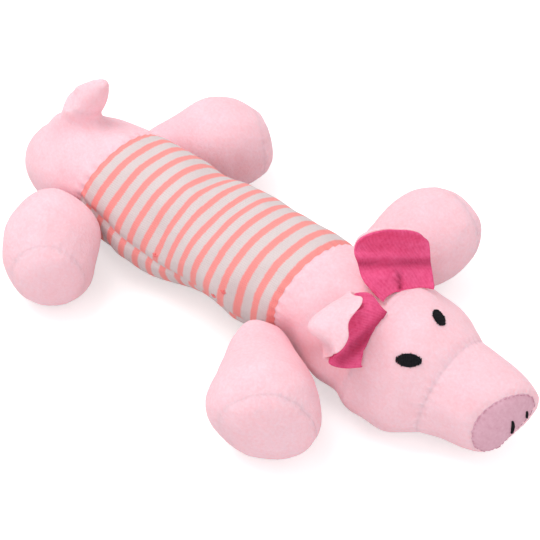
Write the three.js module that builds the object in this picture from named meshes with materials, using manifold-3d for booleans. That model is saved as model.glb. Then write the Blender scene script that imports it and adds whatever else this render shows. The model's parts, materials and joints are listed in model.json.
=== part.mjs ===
// Squeaky plush pig for a dog, taken apart into its sewn covers, its stuffing and its squeaker.
// Millimetres, +X to the snout, +Y to the pig's left, +Z up. The origin is on the floor, under the
// middle of the striped body, on the flat that the belly rests on.

import * as THREE from 'three';
import { mergeVertices } from 'three/addons/utils/BufferGeometryUtils.js';
import Module from 'manifold-3d';

const wasm = await Module();
wasm.setup();

const { degToRad, lerp, mapLinear } = THREE.MathUtils;

// Fabrics and fits
const PLUSH_WALL = 2.0; // short pile plush with its backing
const KNIT_WALL = 1.5; // striped jersey
const FLEECE_WALL = 1.2; // ear lining and snout pad
const SEAM_GAP = 0.35; // between two sewn neighbours
const SWING_GAP = 0.4; // between a limb's round root and its seat
const REST_FLAT = 0.5; // depth to which a soft underside is pressed flat

// Body
const BODY_RADIUS = 24; // at the ends of the striped panels
const BODY_SWELL = 1.2; // how far the stuffing rounds the striped panels out
const STRIPED_LENGTH = 108;
const RUMP_LENGTH = 48;
const RUMP_FULLNESS = 0.95; // 1 is an ellipse, less is fuller
const RUMP_DROOP = 0.12; // how far the rump sinks for each length behind the stripes
const NECK_LENGTH = 17; // from the striped panels to the centre of the neck dome
const NECK_MOUTH = 24; // half angle of the dome's open mouth, degrees
const SIDE_SEAM_DROP = 34; // how far the side seams lie below the body's middle, degrees

// Head, from the centre of the neck dome along the head's own axis
const HEAD_RADIUS = 27;
const HEAD_SKIRT_REST = 1.8; // how far the head's edge stands off the dome
const HEAD_FLATNESS = 0.905; // height over width
const HEAD_SKIRT = 68; // half angle at which the head's edge starts on the dome, degrees
const HEAD_LENGTH = 40.5; // to the muzzle seam
const HEAD_PROFILE = [[0.42, 1], [0.65, 0.974], [0.83, 0.867]]; // shares of the length and the radius
const HEAD_PITCH = 4; // nose down, degrees
const HEAD_ROLL = 18; // top of the head towards the pig's right, degrees
const MUZZLE_BASE_RADIUS = 19.2;
const MUZZLE_TIP_RADIUS = 15.8;
const MUZZLE_LENGTH = 21;
const MUZZLE_PROFILE = [[0.35, -0.12], [0.76, 0.29]]; // shares of the length and the way to the tip's radius
const MUZZLE_FLATNESS = 0.86; // height over width
const MUZZLE_DROP = 2.5; // below the head's axis
const SNOUT_BULGE = 5;
const NOSE_PLUG_RADIUS = 11.2; // stuffing where it passes from the head into the muzzle
const NOSE_PLUG_LENGTH = 6;
const STITCH_HEIGHT = 1.1; // how far satin stitching stands out
const EYE_LENGTH = 9.6;
const EYE_WIDTH = 5.2;
const EYE_SLANT = 28; // front ends towards the top of the head, degrees
const EYE_ANGLE = 27; // either side of the head's top, degrees
const EYE_SETBACK = 10.8; // behind the muzzle seam
const NOSTRIL_LENGTH = 7.2;
const NOSTRIL_WIDTH = 1.8;
const NOSTRIL_SPACING = 9;

// Ears
const EAR_ANGLE = 26; // either side of the head's top, degrees
const EAR_SETBACK = 15.5; // in front of the neck dome's centre
// Widths at even steps from the root to the tip
const EAR_BASE_WIDTH = 19;
const EAR_SHOULDER_WIDTH = 27.6;
const EAR_WIDTH = 28.5;
const EAR_TIP_WIDTH = 19;
const EAR_TURN = { left: 25, right: 8 }; // outer ends forwards, degrees
const EAR_ROOT_DEPTH = 2.5; // how far the uncut ear runs into the head
const EAR_CUP = 2.2; // how far its edges curl forwards
const EAR_ROUNDING = 0.1; // share of the length by which the tip's corners fall short
const EAR_FLAP_BACK = 6; // degrees
const EAR_FLAP_FORWARD = 18; // degrees
// How each ear bends above the head, as points [forwards, away from the head] up to its tip
const EAR_BENDS = {
  left: [[-6, 3.4], [-13, 5.6], [-17, 7.6], [-18.5, 10.8], [-18, 14.3], [-16.8, 17.3]],
  right: [[-5, 2.8], [-10.5, 5.5], [-14.5, 10], [-13, 15], [-7.5, 16.8], [-1.5, 15.5]],
};

// Legs, from the centre of the round root along the leg's axis
const LEG_ROOT_RADIUS = 12;
const LEG_SEAT_DEPTH = 4; // how far the root presses into the body
const FRONT_LEG_INSET = 4; // from the front of the striped panels back to the leg's root
const REAR_LEG_OVERHANG = 4; // from the rear of the striped panels back to the leg's root
const FOOT_RADIUS = 20.3;
const SOLE_SEAM_RADIUS = 17.5;
const SOLE_BULGE = 7;
const LEG_PROFILE = [[0.34, 0.3], [0.6, 0.78], [0.82, 1]]; // shares of the length and the way to the foot
// How far each leg points towards the head, degrees, and its length to the sole seam as its stuffing lies
const LEG_SPLAY = { front_left: 15, front_right: 42, rear_left: 38, rear_right: 43 };
const LEG_LENGTH = { front_left: 38, front_right: 36.5, rear_left: 37.5, rear_right: 30.5 };

// Tail
const TAIL_ROOT_RADIUS = 8;
const TAIL_TIP_RADIUS = 3.2;
const TAIL_LENGTH = 20; // from the centre of the root to the centre of the tip
const TAIL_PROFILE = [[0.4, 0.15], [0.75, 0.5]]; // shares of the length and the way to the tip's radius
const TAIL_MOUTH = 30; // half angle of the open root, degrees
const TAIL_SEAT_DEPTH = 4.5;
const TAIL_SETBACK = 20; // behind the striped panels
const TAIL_LEAN_FORWARD = 32; // degrees
const TAIL_LEAN_LEFT = 8; // degrees

// Squeaker
const SQUEAKER_RADIUS = 17;
const SQUEAKER_HEIGHT = 25;
const SQUEAKER_WALL = 1.2;
const SQUEAKER_STROKE = 8; // of the crown when it is pressed
const SQUEAKER_COLLAR = 3; // height of the base's and the crown's rims
const SQUEAKER_LIP = 1.5; // rounding of the base and the crown
const BELLOWS_PLEATS = 3;
const BELLOWS_DEPTH = 3.2; // from the crest of a pleat to its root
const WHISTLE_RADIUS = 4;
const WHISTLE_WALL = 0.9;
const WHISTLE_HEADROOM = 4.8; // left between the whistle and the pressed crown
const WHISTLE_FLANGE = 1.6; // how far the whistle's flange reaches past its tube
const WHISTLE_FLANGE_DROP = 1.3; // below the squeaker's base
const WHISTLE_FIT = 0.15; // round the whistle in its hole and the clip in the whistle
const REED_THICKNESS = 0.4;
const REED_WIDTH = 3;
const REED_LENGTH = 8;
const REED_SLACK = 0.3; // round the reed in its clip
const REED_CLIP_LENGTH = 3.4;
const REED_CLIP_FLOOR = 0.6;
const POCKET_GAP = 0.5; // between the squeaker and the stuffing round it

// How finely round pieces are faceted
const BODY_SIDES = 20;
const LIMB_SIDES = 14;
const SMALL_SIDES = 12;
const BODY_RINGS = 4;
const RUMP_RINGS = 7;
const DOME_RINGS = 5;
const HEAD_RINGS = 6;
const MUZZLE_RINGS = 4;
const LEG_RINGS = 5;
const TAIL_RINGS = 4;
const ROOT_RINGS = 3;
const CROWN_RINGS = 4;
const EAR_COLUMNS = 6;
const EAR_ROWS = 8;

// Places that follow from the sizes above
const BODY_AXIS_HEIGHT = BODY_RADIUS + BODY_SWELL - REST_FLAT;
const REAR_SEAM = -STRIPED_LENGTH / 2;
const FRONT_SEAM = STRIPED_LENGTH / 2;
const NECK_CENTRE = new THREE.Vector3(FRONT_SEAM + NECK_LENGTH, 0, BODY_AXIS_HEIGHT);
const LEG_HEIGHT = FOOT_RADIUS - REST_FLAT;
const PLUSH_DEPTH = PLUSH_WALL + SEAM_GAP; // from the outside of a plush cover to its stuffing
const WHISTLE_LENGTH = SQUEAKER_HEIGHT - SQUEAKER_WALL - SQUEAKER_STROKE - WHISTLE_HEADROOM;
const BEYOND = 20 * BODY_RADIUS; // larger than the toy, for blocks that cut it
const squeakerPlace = new THREE.Matrix4()
  .makeTranslation(0, 0, BODY_AXIS_HEIGHT - SQUEAKER_HEIGHT / 2)
  .multiply(new THREE.Matrix4().makeRotationY(-Math.PI / 2));

function material(color, roughness = 0.95) {
  return new THREE.MeshStandardMaterial({ color, roughness, metalness: 0 });
}

const pinkPlush = material(0xfbd0de);
const coralKnit = material(0xf3b4b0);
const magentaFleece = material(0xdb4a7c);
const mauveFleece = material(0xe0b0c2);
const blackThread = material(0x15151a, 0.6);
const fibreFill = material(0xf4f2ee);
const clearPlastic = material(0xe9ecec, 0.35);
const whistlePlastic = material(0xf1f1ee, 0.4);
const reedFilm = material(0xd8dde0, 0.3);

// Closed geometry and manifold solids

function solidOf(geometry) {
  const bare = new THREE.BufferGeometry().setAttribute('position', geometry.getAttribute('position'));
  if (geometry.index) bare.setIndex(geometry.index);
  const merged = mergeVertices(bare, 1e-4);
  const corners = Array.from(merged.index.array);
  const triVerts = [];
  for (let i = 0; i < corners.length; i += 3) {
    const [a, b, c] = corners.slice(i, i + 3);
    if (a !== b && b !== c && c !== a) triVerts.push(a, b, c);
  }
  const build = (indices) =>
    new wasm.Manifold(
      new wasm.Mesh({
        numProp: 3,
        vertProperties: new Float32Array(merged.getAttribute('position').array),
        triVerts: new Uint32Array(indices),
      }),
    );
  const solid = build(triVerts);
  return solid.volume() < 0 ? build(triVerts.reverse()) : solid;
}

function geometryOf(solid) {
  const mesh = solid.getMesh();
  const positions = new Float32Array(mesh.numVert * 3);
  for (let i = 0; i < mesh.numVert; i++) {
    positions.set(mesh.vertProperties.subarray(i * mesh.numProp, i * mesh.numProp + 3), i * 3);
  }
  const geometry = new THREE.BufferGeometry();
  geometry.setAttribute('position', new THREE.BufferAttribute(positions, 3));
  geometry.setIndex(new THREE.BufferAttribute(mesh.triVerts, 1));
  geometry.computeVertexNormals();
  return geometry;
}

function moved(solid, matrix) {
  return solidOf(geometryOf(solid).applyMatrix4(matrix));
}

function shifted(solid, x, y, z) {
  return moved(solid, new THREE.Matrix4().makeTranslation(x, y, z));
}

function piece(parent, name, solid, look) {
  const mesh = new THREE.Mesh(geometryOf(solid), look);
  mesh.name = name;
  parent.add(mesh);
  return mesh;
}

// A faceted ball that a true ball of this radius fits inside
function roundSeat(radius, sides) {
  const reach = radius / Math.cos(Math.PI / sides) ** 2;
  return solidOf(new THREE.SphereGeometry(reach, sides, Math.round(sides / 2)));
}

// A block that takes away everything under the floor, for a piece whose own origin is at height above it
function belowFloor(height) {
  return shifted(solidOf(new THREE.BoxGeometry(BEYOND, BEYOND, BEYOND)), 0, 0, -height - BEYOND / 2);
}

// Outlines of round pieces: points [along, radius] from back to front

// A smooth curve through a few outline points
function swept(points, steps) {
  const curve = new THREE.SplineCurve(points.map(([along, radius]) => new THREE.Vector2(along, radius)));
  return curve.getPoints(steps).map((p) => [p.x, Math.max(p.y, 0)]);
}

// Part of a circle about a point on the axis; angles are degrees from +X
function arc(centre, radius, fromDegrees, toDegrees, steps) {
  return Array.from({ length: steps + 1 }, (_, i) => {
    const angle = degToRad(lerp(fromDegrees, toDegrees, i / steps));
    return [centre + radius * Math.cos(angle), Math.max(radius * Math.sin(angle), 0)];
  });
}

// A rounded end, from a seam's radius to the axis
function crowned(start, radius, bulge) {
  return Array.from({ length: CROWN_RINGS + 1 }, (_, i) => {
    const angle = (Math.PI / 2) * (i / CROWN_RINGS);
    return [start + bulge * Math.sin(angle), i < CROWN_RINGS ? radius * Math.cos(angle) : 0];
  });
}

// Outline points between two radii, from a profile of shares [length, way from one radius to the other]
function tapered(profile, start, length, fromRadius, toRadius) {
  return profile.map(([share, way]) => [start + share * length, lerp(fromRadius, toRadius, way)]);
}

// The outline moved inwards by a wall, along its own normals
function inset(outline, wall) {
  return outline.map(([along, radius], i) => {
    const [backAlong, backRadius] = outline[Math.max(i - 1, 0)];
    const [frontAlong, frontRadius] = outline[Math.min(i + 1, outline.length - 1)];
    const onAxis = radius < 1e-6;
    const run = onAxis ? 0 : frontAlong - backAlong;
    const rise = onAxis ? (i === 0 ? 1 : -1) : frontRadius - backRadius;
    const length = Math.hypot(run, rise);
    return [along + (wall * rise) / length, Math.max(radius - (wall * run) / length, 0)];
  });
}

// The solid that an outline sweeps about the X axis, flat at an end that isn't on the axis
function turned(outline, sides) {
  const closed = [[outline[0][0], 0], ...outline, [outline[outline.length - 1][0], 0]];
  const profile = closed
    .map(([along, radius]) => new THREE.Vector2(radius, along))
    .filter((point, i, points) => i === 0 || point.distanceTo(points[i - 1]) > 1e-6);
  return solidOf(new THREE.LatheGeometry(profile, sides).rotateZ(-Math.PI / 2));
}

// The same outline carried straight on past an open end, so that a cut goes right through
function overrun(outline, atStart, atEnd) {
  const reach = 2;
  const [first] = outline;
  const last = outline[outline.length - 1];
  return [
    ...(atStart ? [[first[0] - reach, first[1]]] : []),
    ...outline,
    ...(atEnd ? [[last[0] + reach, last[1]]] : []),
  ];
}

function shell(outline, wall, sides, openStart, openEnd) {
  return turned(outline, sides).subtract(turned(overrun(inset(outline, wall), openStart, openEnd), sides));
}

// Body covers

const bodyOutline = swept(
  [
    [REAR_SEAM + SEAM_GAP, BODY_RADIUS],
    [0, BODY_RADIUS + BODY_SWELL],
    [FRONT_SEAM - SEAM_GAP, BODY_RADIUS],
  ],
  BODY_RINGS,
);

function rumpRadiusAt(behind) {
  return BODY_RADIUS * Math.sqrt(1 - (behind / RUMP_LENGTH) ** 2) ** RUMP_FULLNESS;
}

const rumpOutline = Array.from({ length: RUMP_RINGS + 1 }, (_, i) => {
  const behind = RUMP_LENGTH * Math.cos((Math.PI / 2) * (i / RUMP_RINGS));
  return [REAR_SEAM - behind, rumpRadiusAt(behind)];
});

const neckOutline = [
  [FRONT_SEAM, BODY_RADIUS],
  ...arc(NECK_CENTRE.x, BODY_RADIUS, 90, NECK_MOUTH, DOME_RINGS),
];

// A limb's round root, as a ball that its seat is cut to
const legSeatRadius = LEG_ROOT_RADIUS + SWING_GAP;
const tailSeatRadius = TAIL_ROOT_RADIUS + SWING_GAP;

function bodyRadiusAt(along) {
  const share = (along - REAR_SEAM) / STRIPED_LENGTH;
  return BODY_RADIUS + BODY_SWELL * 4 * share * (1 - share);
}

const legs = Object.entries(LEG_SPLAY).map(([name, splay]) => {
  const side = name.endsWith('left') ? 1 : -1;
  const front = name.startsWith('front');
  const along = front ? FRONT_SEAM - FRONT_LEG_INSET : REAR_SEAM - REAR_LEG_OVERHANG;
  const bodyRadius = front ? bodyRadiusAt(along) : rumpRadiusAt(REAR_LEG_OVERHANG);
  const standOff = bodyRadius + legSeatRadius - LEG_SEAT_DEPTH;
  const across = Math.sqrt(standOff ** 2 - (BODY_AXIS_HEIGHT - LEG_HEIGHT) ** 2);
  return {
    name,
    length: LEG_LENGTH[name],
    root: new THREE.Vector3(along, side * across, LEG_HEIGHT),
    turn: side * degToRad(90 - splay),
  };
});

const tailDirection = new THREE.Vector3(
  Math.sin(degToRad(TAIL_LEAN_FORWARD)),
  Math.sin(degToRad(TAIL_LEAN_LEFT)),
  Math.cos(degToRad(TAIL_LEAN_FORWARD)) * Math.cos(degToRad(TAIL_LEAN_LEFT)),
).normalize();
const rumpTopAtTail = BODY_AXIS_HEIGHT + rumpRadiusAt(TAIL_SETBACK) - RUMP_DROOP * TAIL_SETBACK;
const tailRoot = new THREE.Vector3(
  REAR_SEAM - TAIL_SETBACK,
  0,
  rumpTopAtTail + tailSeatRadius - TAIL_SEAT_DEPTH,
);

const legSeats = legs.map(({ root }) => shifted(roundSeat(legSeatRadius, LIMB_SIDES), ...root.toArray()));
const tailSeat = shifted(roundSeat(tailSeatRadius, LIMB_SIDES), ...tailRoot.toArray());

function raised(solid) {
  return shifted(solid, 0, 0, BODY_AXIS_HEIGHT);
}

// The body's rear, sunk towards the floor behind the stripes
function drooped(solid) {
  const geometry = geometryOf(solid);
  const place = geometry.getAttribute('position');
  for (let i = 0; i < place.count; i++) {
    const behind = Math.max(REAR_SEAM - place.getX(i), 0);
    place.setZ(i, place.getZ(i) - RUMP_DROOP * behind);
  }
  return solidOf(geometry);
}

function withoutAll(solid, cutters) {
  return cutters.reduce((left, cutter) => left.subtract(cutter), solid);
}

// Everything below the two side seams, as a wedge along the body
function bellyWedge(drop) {
  const reach = 4 * BODY_RADIUS;
  const slope = Math.tan(degToRad(SIDE_SEAM_DROP));
  const section = new THREE.Shape([
    new THREE.Vector2(0, -drop),
    new THREE.Vector2(-reach, -drop - reach * slope),
    new THREE.Vector2(reach, -drop - reach * slope),
  ]);
  const length = STRIPED_LENGTH * 2;
  const wedge = new THREE.ExtrudeGeometry(section, { depth: length, bevelEnabled: false });
  wedge.translate(0, 0, -length / 2).rotateX(Math.PI / 2).rotateZ(Math.PI / 2);
  return raised(solidOf(wedge));
}

const toy = new THREE.Group();

function addBody() {
  const tube = raised(shell(bodyOutline, KNIT_WALL, BODY_SIDES, true, true));
  const sideSeamGap = SEAM_GAP / Math.cos(degToRad(SIDE_SEAM_DROP));
  const back = withoutAll(tube.subtract(bellyWedge(0)), legSeats);
  const belly = withoutAll(tube.intersect(bellyWedge(sideSeamGap)), [...legSeats, belowFloor(0)]);
  const rump = drooped(raised(shell(rumpOutline, PLUSH_WALL, BODY_SIDES, false, true)));
  const neck = raised(shell(neckOutline, PLUSH_WALL, BODY_SIDES, true, true));
  piece(toy, 'rump_cover', withoutAll(rump, [...legSeats, tailSeat]), pinkPlush);
  piece(toy, 'back_panel', back, coralKnit);
  piece(toy, 'belly_panel', belly, coralKnit);
  piece(toy, 'neck_cover', withoutAll(neck, legSeats), pinkPlush);
}

// Stuffing of the body, in two wads that meet round the squeaker
function addBodyFilling() {
  const outline = [
    ...inset(rumpOutline, PLUSH_DEPTH).slice(0, -1),
    ...inset(bodyOutline, PLUSH_DEPTH),
    ...arc(NECK_CENTRE.x, BODY_RADIUS - PLUSH_DEPTH, 90, 0, DOME_RINGS),
  ];
  const pocket = turned(
    [
      [-WHISTLE_FLANGE_DROP - POCKET_GAP, SQUEAKER_RADIUS + POCKET_GAP],
      [SQUEAKER_HEIGHT + POCKET_GAP, SQUEAKER_RADIUS + POCKET_GAP],
    ],
    LIMB_SIDES,
  );
  const squeakerPocket = moved(pocket, squeakerPlace);
  const body = drooped(raised(turned(outline, BODY_SIDES)));
  const wad = withoutAll(body, [...legSeats, tailSeat, squeakerPocket]);
  const half = solidOf(new THREE.BoxGeometry(BEYOND, BEYOND, BEYOND));
  piece(toy, 'rear_filling', wad.intersect(shifted(half, -(BEYOND + SEAM_GAP) / 2, 0, 0)), fibreFill);
  piece(toy, 'front_filling', wad.intersect(shifted(half, (BEYOND + SEAM_GAP) / 2, 0, 0)), fibreFill);
}

// Squeaker, standing on its base in the middle of the body

function addSqueaker() {
  const add = (name, solid, look) => piece(toy, name, moved(solid, squeakerPlace), look);
  const rim = [
    [0, SQUEAKER_RADIUS - SQUEAKER_LIP],
    [SQUEAKER_LIP, SQUEAKER_RADIUS],
    [SQUEAKER_COLLAR, SQUEAKER_RADIUS],
  ];
  const hollow = rim.map(([along, radius]) => [along + SQUEAKER_WALL, radius - SQUEAKER_WALL]);
  const cap = turned(rim, LIMB_SIDES).subtract(turned(hollow, LIMB_SIDES));
  const holeRadius = WHISTLE_RADIUS + WHISTLE_FIT;
  const hole = turned(overrun([[0, holeRadius], [SQUEAKER_WALL, holeRadius]], true, true), SMALL_SIDES);
  add('squeaker_base', cap.subtract(hole), clearPlastic);

  const turnedOver = new THREE.Matrix4()
    .makeTranslation(SQUEAKER_HEIGHT, 0, 0)
    .multiply(new THREE.Matrix4().makeRotationY(Math.PI));
  add('squeaker_crown', moved(cap, turnedOver), clearPlastic);

  const foot = SQUEAKER_COLLAR + SEAM_GAP;
  const pitch = (SQUEAKER_HEIGHT - 2 * foot) / BELLOWS_PLEATS;
  const pleats = Array.from({ length: 2 * BELLOWS_PLEATS + 1 }, (_, i) => [
    foot + (i * pitch) / 2,
    SQUEAKER_RADIUS - (i % 2) * BELLOWS_DEPTH,
  ]);
  const inside = pleats.map(([along, radius]) => [along, radius - SQUEAKER_WALL]);
  const bellows = turned(pleats, LIMB_SIDES).subtract(turned(overrun(inside, true, true), LIMB_SIDES));
  add('squeaker_bellows', bellows, clearPlastic);

  const boreRadius = WHISTLE_RADIUS - WHISTLE_WALL;
  const bore = overrun([[-WHISTLE_FLANGE_DROP, boreRadius], [WHISTLE_LENGTH, boreRadius]], true, true);
  const tube = turned(
    [
      [-WHISTLE_FLANGE_DROP, WHISTLE_RADIUS + WHISTLE_FLANGE],
      [-WHISTLE_FIT, WHISTLE_RADIUS + WHISTLE_FLANGE],
      [-WHISTLE_FIT, WHISTLE_RADIUS],
      [WHISTLE_LENGTH, WHISTLE_RADIUS],
    ],
    SMALL_SIDES,
  ).subtract(turned(bore, SMALL_SIDES));
  add('whistle_tube', tube, whistlePlastic);

  const clipRadius = boreRadius - WHISTLE_FIT;
  const slot = new THREE.BoxGeometry(
    2 * REED_CLIP_LENGTH,
    REED_THICKNESS + 2 * REED_SLACK,
    REED_WIDTH + 2 * REED_SLACK,
  ).translate(REED_CLIP_LENGTH + REED_CLIP_FLOOR, 0, 0);
  const clip = turned([[0, clipRadius], [REED_CLIP_LENGTH, clipRadius]], SMALL_SIDES).subtract(solidOf(slot));
  add('reed_clip', clip, whistlePlastic);

  const reedStart = REED_CLIP_FLOOR + REED_SLACK;
  const reed = new THREE.BoxGeometry(REED_LENGTH, REED_THICKNESS, REED_WIDTH);
  add('whistle_reed', solidOf(reed.translate(reedStart + REED_LENGTH / 2, 0, 0)), reedFilm);
}

// Head, in its own frame about the centre of the neck dome

const headFrame = new THREE.Group();
headFrame.position.copy(NECK_CENTRE);
headFrame.rotation.set(degToRad(HEAD_ROLL), degToRad(HEAD_PITCH), 0, 'YXZ');
headFrame.updateMatrix();
toy.add(headFrame);

const domeSeat = roundSeat(BODY_RADIUS + SWING_GAP, BODY_SIDES);
const skirtAlong = (BODY_RADIUS + SWING_GAP) * Math.cos(degToRad(HEAD_SKIRT));
const headOutline = swept(
  [
    [skirtAlong, BODY_RADIUS + SWING_GAP + HEAD_SKIRT_REST],
    ...HEAD_PROFILE.map(([share, width]) => [share * HEAD_LENGTH, width * HEAD_RADIUS]),
    [HEAD_LENGTH, MUZZLE_BASE_RADIUS - SEAM_GAP],
  ],
  HEAD_RINGS,
);
const muzzleStart = HEAD_LENGTH + SEAM_GAP;
const muzzleEnd = muzzleStart + MUZZLE_LENGTH;
const muzzleOutline = swept(
  [
    [muzzleStart, MUZZLE_BASE_RADIUS],
    ...tapered(MUZZLE_PROFILE, muzzleStart, MUZZLE_LENGTH, MUZZLE_BASE_RADIUS, MUZZLE_TIP_RADIUS),
    [muzzleEnd, MUZZLE_TIP_RADIUS],
  ],
  MUZZLE_RINGS,
);
const padStart = muzzleEnd + SEAM_GAP;
const padOutline = crowned(padStart, MUZZLE_TIP_RADIUS, SNOUT_BULGE);
const headShape = new THREE.Matrix4().makeScale(1, 1, HEAD_FLATNESS);
const muzzleShape = new THREE.Matrix4()
  .makeTranslation(0, 0, -MUZZLE_DROP)
  .multiply(new THREE.Matrix4().makeScale(1, 1, MUZZLE_FLATNESS));

function outlineRadiusAt(outline, along) {
  const next = outline.findIndex(([x]) => x >= along);
  const [x0, r0] = outline[next - 1];
  const [x1, r1] = outline[next];
  return { radius: mapLinear(along, x0, x1, r0, r1), slope: (r1 - r0) / (x1 - x0) };
}

function addHead() {
  const floor = moved(belowFloor(0), headFrame.matrix.clone().invert());
  const cover = moved(shell(headOutline, PLUSH_WALL, BODY_SIDES, true, true), headShape);
  piece(headFrame, 'head_cover', withoutAll(cover, [domeSeat, floor]), pinkPlush);
  const muzzle = shell(muzzleOutline, PLUSH_WALL, BODY_SIDES, true, true);
  piece(headFrame, 'muzzle_cover', moved(muzzle, muzzleShape), pinkPlush);
  const pad = shell(padOutline, FLEECE_WALL, BODY_SIDES, true, false);
  piece(headFrame, 'snout_pad', moved(pad, muzzleShape), mauveFleece);

  const throat = inset(headOutline, PLUSH_DEPTH).slice(1);
  const nose = [
    [HEAD_LENGTH - NOSE_PLUG_LENGTH, NOSE_PLUG_RADIUS],
    [muzzleStart + SEAM_GAP, NOSE_PLUG_RADIUS],
    ...inset(muzzleOutline, PLUSH_DEPTH).slice(1),
    ...inset(padOutline, FLEECE_WALL + SEAM_GAP).slice(1),
  ];
  const filling = moved(turned(throat, LIMB_SIDES), headShape)
    .add(moved(turned(nose, LIMB_SIDES), muzzleShape))
    .subtract(domeSeat);
  piece(headFrame, 'head_filling', filling, fibreFill);
}

// A stitched oval standing on a surface: half sunk into it, then cut back to a gap above it
function stitchedOval(length, width, place, surface) {
  const oval = new THREE.SphereGeometry(1, SMALL_SIDES, SMALL_SIDES / 2);
  oval.scale(length / 2, width / 2, STITCH_HEIGHT + SEAM_GAP).applyMatrix4(place);
  return solidOf(oval).subtract(surface);
}

function addFace() {
  const headSurface = moved(turned(inset(headOutline, -SEAM_GAP), BODY_SIDES), headShape);
  const padSurface = moved(turned(inset(padOutline, -SEAM_GAP), BODY_SIDES), muzzleShape);
  const eyeAlong = HEAD_LENGTH - EYE_SETBACK;
  const { radius, slope } = outlineRadiusAt(headOutline, eyeAlong);
  for (const [name, side] of [['left', 1], ['right', -1]]) {
    const eyePlace = headShape
      .clone()
      .multiply(new THREE.Matrix4().makeRotationX(-side * degToRad(EYE_ANGLE)))
      .multiply(new THREE.Matrix4().makeTranslation(eyeAlong, 0, radius))
      .multiply(new THREE.Matrix4().makeRotationY(-Math.atan(slope)))
      .multiply(new THREE.Matrix4().makeRotationZ(-side * degToRad(EYE_SLANT)));
    piece(headFrame, `${name}_eye`, stitchedOval(EYE_LENGTH, EYE_WIDTH, eyePlace, headSurface), blackThread);

    const share = NOSTRIL_SPACING / 2 / MUZZLE_TIP_RADIUS;
    const nostrilAlong = padStart + SNOUT_BULGE * Math.sqrt(1 - share ** 2);
    const nostrilPlace = new THREE.Matrix4()
      .makeTranslation(nostrilAlong, (side * NOSTRIL_SPACING) / 2, -MUZZLE_DROP)
      .multiply(new THREE.Matrix4().makeRotationY(Math.PI / 2));
    const nostril = stitchedOval(NOSTRIL_LENGTH, NOSTRIL_WIDTH, nostrilPlace, padSurface);
    piece(headFrame, `${name}_nostril`, nostril, blackThread);
  }
}

// Ears: a plush back and a fleece lining on one bent mid surface

function earSurface(side, bends, earTurn) {
  const spinePoints = [[0, -EAR_ROOT_DEPTH], ...bends];
  const spine = new THREE.SplineCurve(spinePoints.map((point) => new THREE.Vector2(...point)));
  const widths = [EAR_BASE_WIDTH, EAR_SHOULDER_WIDTH, EAR_WIDTH, EAR_TIP_WIDTH];
  const halfWidth = new THREE.SplineCurve(widths.map((width, i) => new THREE.Vector2(i, width / 2)));
  const { radius } = outlineRadiusAt(headOutline, EAR_SETBACK);
  const turn = -side * degToRad(EAR_ANGLE);
  return (across, along) => {
    const reach = along * (1 - EAR_ROUNDING * Math.abs(across) ** 3);
    const bend = spine.getPoint(reach);
    const curl = EAR_CUP * across ** 2 * along;
    const sag = (across * EAR_BASE_WIDTH) ** 2 / (8 * radius) * (1 - along);
    return new THREE.Vector3(bend.x + curl, across * halfWidth.getPoint(along).y, radius + bend.y - sag)
      .applyAxisAngle(new THREE.Vector3(0, 0, 1), -side * degToRad(earTurn))
      .add(new THREE.Vector3(EAR_SETBACK, 0, 0))
      .applyAxisAngle(new THREE.Vector3(1, 0, 0), turn)
      .applyMatrix4(headShape);
  };
}

// A closed sheet between two depths below and above a surface
function sheet(surface, near, far) {
  const across = EAR_COLUMNS;
  const along = EAR_ROWS;
  const step = 1e-3;
  const positions = [];
  const rows = along + 1;
  const columns = across + 1;
  for (const depth of [near, far]) {
    for (let j = 0; j < rows; j++) {
      for (let i = 0; i < columns; i++) {
        const u = (2 * i) / across - 1;
        const v = j / along;
        const point = surface(u, v);
        const du = surface(u + step, v).sub(surface(u - step, v));
        const dv = surface(u, Math.min(v + step, 1)).sub(surface(u, Math.max(v - step, 0)));
        point.addScaledVector(du.cross(dv).normalize(), depth);
        positions.push(...point.toArray());
      }
    }
  }
  const at = (layer, i, j) => layer * rows * columns + j * columns + i;
  const index = [];
  const quad = (a, b, c, d) => index.push(a, b, c, a, c, d);
  for (let j = 0; j < along; j++) {
    for (let i = 0; i < across; i++) {
      quad(at(0, i, j), at(0, i, j + 1), at(0, i + 1, j + 1), at(0, i + 1, j));
      quad(at(1, i, j), at(1, i + 1, j), at(1, i + 1, j + 1), at(1, i, j + 1));
    }
    quad(at(0, 0, j), at(1, 0, j), at(1, 0, j + 1), at(0, 0, j + 1));
    quad(at(0, across, j), at(0, across, j + 1), at(1, across, j + 1), at(1, across, j));
  }
  for (let i = 0; i < across; i++) {
    quad(at(0, i, 0), at(0, i + 1, 0), at(1, i + 1, 0), at(1, i, 0));
    quad(at(0, i, along), at(1, i, along), at(1, i + 1, along), at(0, i + 1, along));
  }
  const geometry = new THREE.BufferGeometry();
  geometry.setAttribute('position', new THREE.Float32BufferAttribute(positions, 3));
  geometry.setIndex(index);
  return solidOf(geometry);
}

// The line along an ear's root that it flaps about
function earHinge(side, earTurn) {
  const { radius } = outlineRadiusAt(headOutline, EAR_SETBACK);
  const turn = -side * degToRad(EAR_ANGLE);
  const forwards = new THREE.Vector3(1, 0, 0);
  return {
    pivot: new THREE.Vector3(EAR_SETBACK, 0, radius).applyAxisAngle(forwards, turn).applyMatrix4(headShape),
    axis: new THREE.Vector3(0, 1, 0)
      .applyAxisAngle(new THREE.Vector3(0, 0, 1), -side * degToRad(earTurn))
      .applyAxisAngle(forwards, turn),
  };
}

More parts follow.
